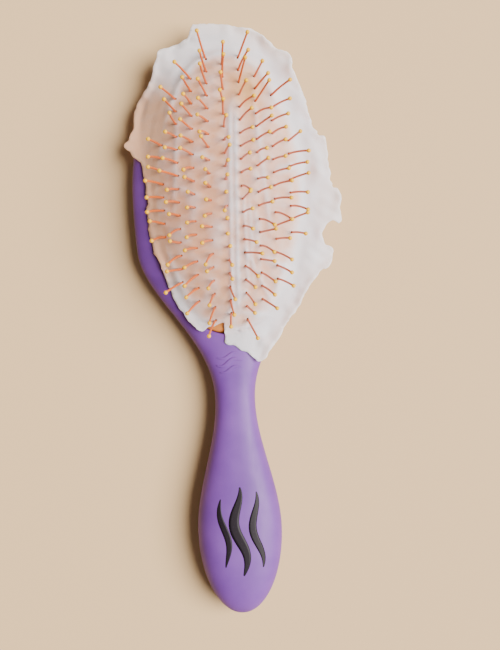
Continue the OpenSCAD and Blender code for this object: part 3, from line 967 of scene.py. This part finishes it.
def lift_off_rubber(x, y, out):
    """Folds, creases across the columns through the rows of pins, cones at the pins and soft waves."""
    folds = FOLD_RISE * sum(rise * bump(off_line(x, y, *line), width) for *line, width, rise in FOLDS)
    creases, cones = np.zeros(len(x)), np.zeros(len(x))
    for foot_x, foot_y in FEET:
        aside, ahead = x - foot_x, y - foot_y
        creases += bump(aside, CREASE_LEN) * bump(ahead - CREASE_SLANT * aside, CREASE_W)
        cones += bump(np.hypot(aside, ahead), PIN_W)
    waves = crumple(x, y, 11, 3) * 0.26 + crumple(x, y, 4.5, 4) * 0.11
    inside = on_rubber(out)
    lift = folds * ease((6 - out) / 6) + CREASE_RISE * np.minimum(creases, 1.4) * inside
    return np.maximum(lift + PIN_RISE * cones + waves * inside + LAID_LIFT, 0)


def free_edge_z(x, y, out, to_edge):
    """Height of the sheet beyond the rubber: level, ruffled and curled up, but hanging on the left."""
    left = hangs(x, y)
    reach = np.clip(out, 0, 12)
    ruffle = np.sin(np.arctan2(y, x) * 6 + 0.6) * 0.45
    ruffle += crumple(x, y, 17, 6) * 0.9 + crumple(x, y, 6, 7) * 0.25
    z = SHELF_Z + mix(LEVEL, DROOP, left) * reach + ruffle * ease(reach / 7) * mix(1.5, 0.8, left)
    return z + EDGE_CURL * ease(1 - to_edge / CURL_W) * (0.5 + crumple(x, y, 34, 9))


def sheet_height(x, y, to_edge):
    """The sheet's height over the rubber and the rim; to_edge is the distance from its torn edge."""
    out = oval_distance(x, y)
    ridge = RIDGE_RISE * bump(out + 3.6, 1.5) * ease((np.abs(y) - 22) / 16) * ease((y + 60) / 30)
    laid = rubber_z(x, y) + SHEET_GAP + lift_off_rubber(x, y, out) + ridge
    z = smooth_max(laid, free_edge_z(x, y, out, to_edge), 1.2)
    rim = front_z(x, y) + RIM_GAP
    rim = np.where(np.abs(x) < body_half_w(y) + 0.5, rim, PART_Z)
    return np.where(out > -1, smooth_max(z, rim, 0.3), z)


def sheet_tint_and_shade(x, y, z):
    """How closely the sheet lies on what is under it, 0 to 1, with painted shade added: most at the left,
    the side away from the light, least at the right, and full on the hanging left edge.
    """
    out = oval_distance(x, y)
    contact_and_shade = on_rubber(out) * np.clip(1.15 - (z - rubber_z(x, y) - SHEET_GAP) / 1.5, 0, 1)
    # Painted shade: the tint fades towards the right, so the left side, away from the light, is darker.
    contact_and_shade *= 1 - 0.15 * ease((x + 12) / 34)
    # Painted shade: the hanging left edge gets the full tan, standing for the shadow under it.
    return np.maximum(contact_and_shade, hangs(x, y) * ease((out + 6) / 3))


# Where the pins go through, and how the mesh is laid out round them
HOLE_R, CUFF_R = 0.5, 0.95
HOLE_INSIDE = 0.44  # triangles with their middle this close to a pin's are in its hole
CUFF_CLEAR = CUFF_R + 0.2
SHEET_PITCH, SHEET_SEED = 0.85, 8
TEAR_STEP, TEAR_SEED = 0.8, 11


def sheet():
    edge = torn_edge(TEAR_STEP, TEAR_SEED)
    holes = [ring(foot, HOLE_R, 8) for foot in FEET]
    cuffs = [ring(foot, CUFF_R, 10, 0.3) for foot in FEET]
    loose = grid_points(47, 72, SHEET_PITCH, SHEET_SEED)
    loose = loose[in_loop(loose, edge)]
    loose = loose[(nearest(loose, edge) > POINT_GAP) & (nearest(loose, FEET) > CUFF_CLEAR)]
    loose = np.concatenate([loose, *cuffs])

    def keep(m):
        return in_loop(m, edge) & (nearest(m, FEET) > HOLE_INSIDE)

    flat, triangles = fill_plane([edge, *holes], loose, keep)
    points = np.column_stack([flat, sheet_height(*flat.T, nearest(flat, edge))])
    piece = mesh_piece("nonwoven_sheet", points, triangles, "cover_sheet", ["sheet"])
    x, y, z = np.array([v.co for v in piece.data.vertices]).T / MM
    # The tan's share: the rubber showing through, plus painted shade on the left
    point_attribute(piece, "contact_and_shade", sheet_tint_and_shade(x, y, z))
    point_attribute(piece, "oil", 0.85 * bump(x - 9, 7) * bump(y - 39, 9))
    thicken(piece, SHEET_T, 1)
    shade_smooth(piece)
    x, y = edge.T
    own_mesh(piece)
    return dress(piece, spunlace())


sheet()

# ---- Floor, light and camera ----
FLOOR_HALF = 12  # metres
FLOOR_Z = -0.02 * MM  # just under the brush, so that the two don't share a face


def floor():
    mesh = bpy.data.meshes.new("floor")
    corners = [(-1, -1), (1, -1), (1, 1), (-1, 1)]
    corners = [(x * FLOOR_HALF, y * FLOOR_HALF, FLOOR_Z) for x, y in corners]
    mesh.from_pydata(corners, [], [(0, 1, 2, 3)])
    piece = bpy.data.objects.new("floor", mesh)
    bpy.context.scene.collection.objects.link(piece)
    mesh.materials.append(new_material("pale_floor", {"Base Color": rgb("#DDBB8C"), "Roughness": 0.7}))


def soft_light(name, place, spread, strength, colour):
    """A wide, distant softbox, as a sun lamp, so that it is even over the whole floor. Only the
    direction of its place counts; spread is how wide it looks from the brush, in degrees."""
    light = bpy.data.lights.new(name, "SUN")
    light.angle = math.radians(spread)
    light.energy = strength
    light.color = rgb(colour)[:3]
    lamp = bpy.data.objects.new(name, light)
    lamp.location = place
    lamp.rotation_euler = (-Vector(place)).to_track_quat("-Z", "Y").to_euler()
    bpy.context.scene.collection.objects.link(lamp)


def room_light(strength, colour):
    """Even light from all round, which fills the shadows."""
    world = bpy.data.worlds.new("soft_room")
    world.use_nodes = True
    background = world.node_tree.nodes["Background"]
    background.inputs["Color"].default_value = rgb(colour)
    background.inputs["Strength"].default_value = strength
    bpy.context.scene.world = world


EYE = Vector((7.2, -54.4, 350.0))  # above the head's lower end, a little to the right
EYE_LEAN = -2.2  # how far the view is turned, in degrees
LENS, SENSOR_W = 46.54, 36
NEAREST_SEEN = 10 * MM


def camera():
    """Straight above, looking down."""
    data = bpy.data.cameras.new("camera")
    data.lens = LENS
    data.sensor_width = SENSOR_W
    data.clip_start = NEAREST_SEEN
    eye = bpy.data.objects.new("camera", data)
    eye.location = EYE * MM
    eye.rotation_euler = (0, 0, math.radians(EYE_LEAN))
    bpy.context.scene.collection.objects.link(eye)
    bpy.context.scene.camera = eye


floor()
soft_light("key", (0.75, 0, 0.91), 42, 8.8, "#FFFAF5")
room_light(0.18, "#FFEEDD")
camera()
